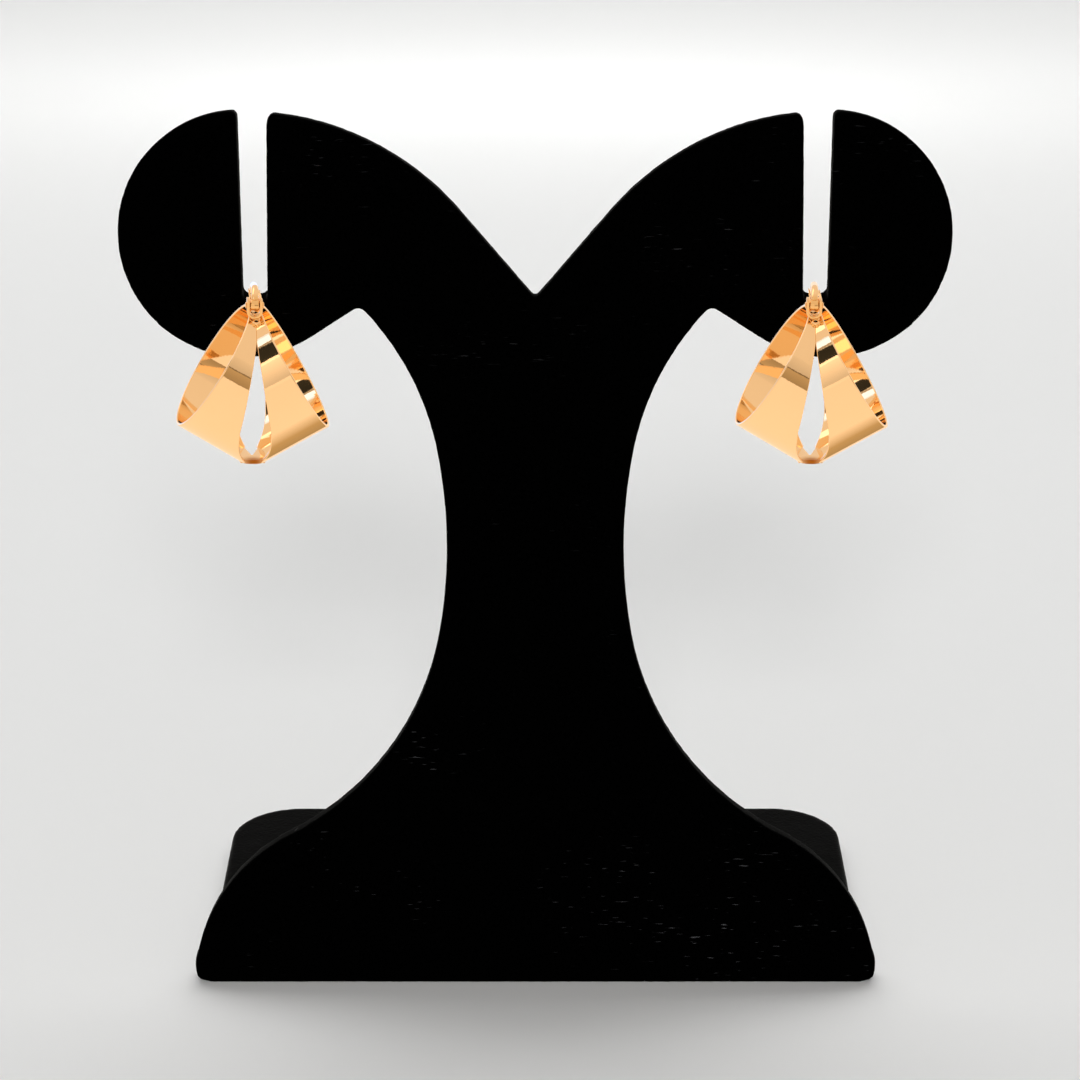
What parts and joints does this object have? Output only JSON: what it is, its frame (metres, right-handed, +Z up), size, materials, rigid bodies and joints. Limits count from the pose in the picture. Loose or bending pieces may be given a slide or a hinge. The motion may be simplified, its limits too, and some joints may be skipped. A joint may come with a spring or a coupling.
{
  "type": "statement hoop earrings on display stand",
  "caption": "Pair of wide split-ribbon hoop earrings with hinged ear wires, hung in the slotted arms of a plain upright display stand.",
  "frame": {"origin": "centre of the overall footprint, on the surface the stand rests on", "axes": "+X across the stand, +Y from the front, where the hoops hang, to the back, +Z up"},
  "size_m": [0.1078, 0.0532, 0.1165],
  "materials": {
    "flock": "black velvet flock over a hard board",
    "gold": "polished gold plate"
  },
  "bodies": {
    "stand_and_hoops": {"stand_upright": "flock", "stand_base": "flock", "hoop_left": "gold", "hoop_right": "gold", "hinge_pin_left": "gold", "hinge_pin_right": "gold"},
    "ear_wire_left": {"ear_wire_left": "gold"},
    "ear_wire_right": {"ear_wire_right": "gold"}
  },
  "joints": [
    {"name": "ear_wire_left_hinge", "type": "hinge", "parent": "stand_and_hoops", "child": "ear_wire_left", "pos_m": [-0.03505, -0.0195, 0.09579], "axis": [0.9902, 0.1286, -0.0541], "range_deg": [0, 95]},
    {"name": "ear_wire_right_hinge", "type": "hinge", "parent": "stand_and_hoops", "child": "ear_wire_right", "pos_m": [0.03488, -0.01957, 0.0958], "axis": [0.9989, -0.0462, 0], "range_deg": [0, 95]}
  ]
}
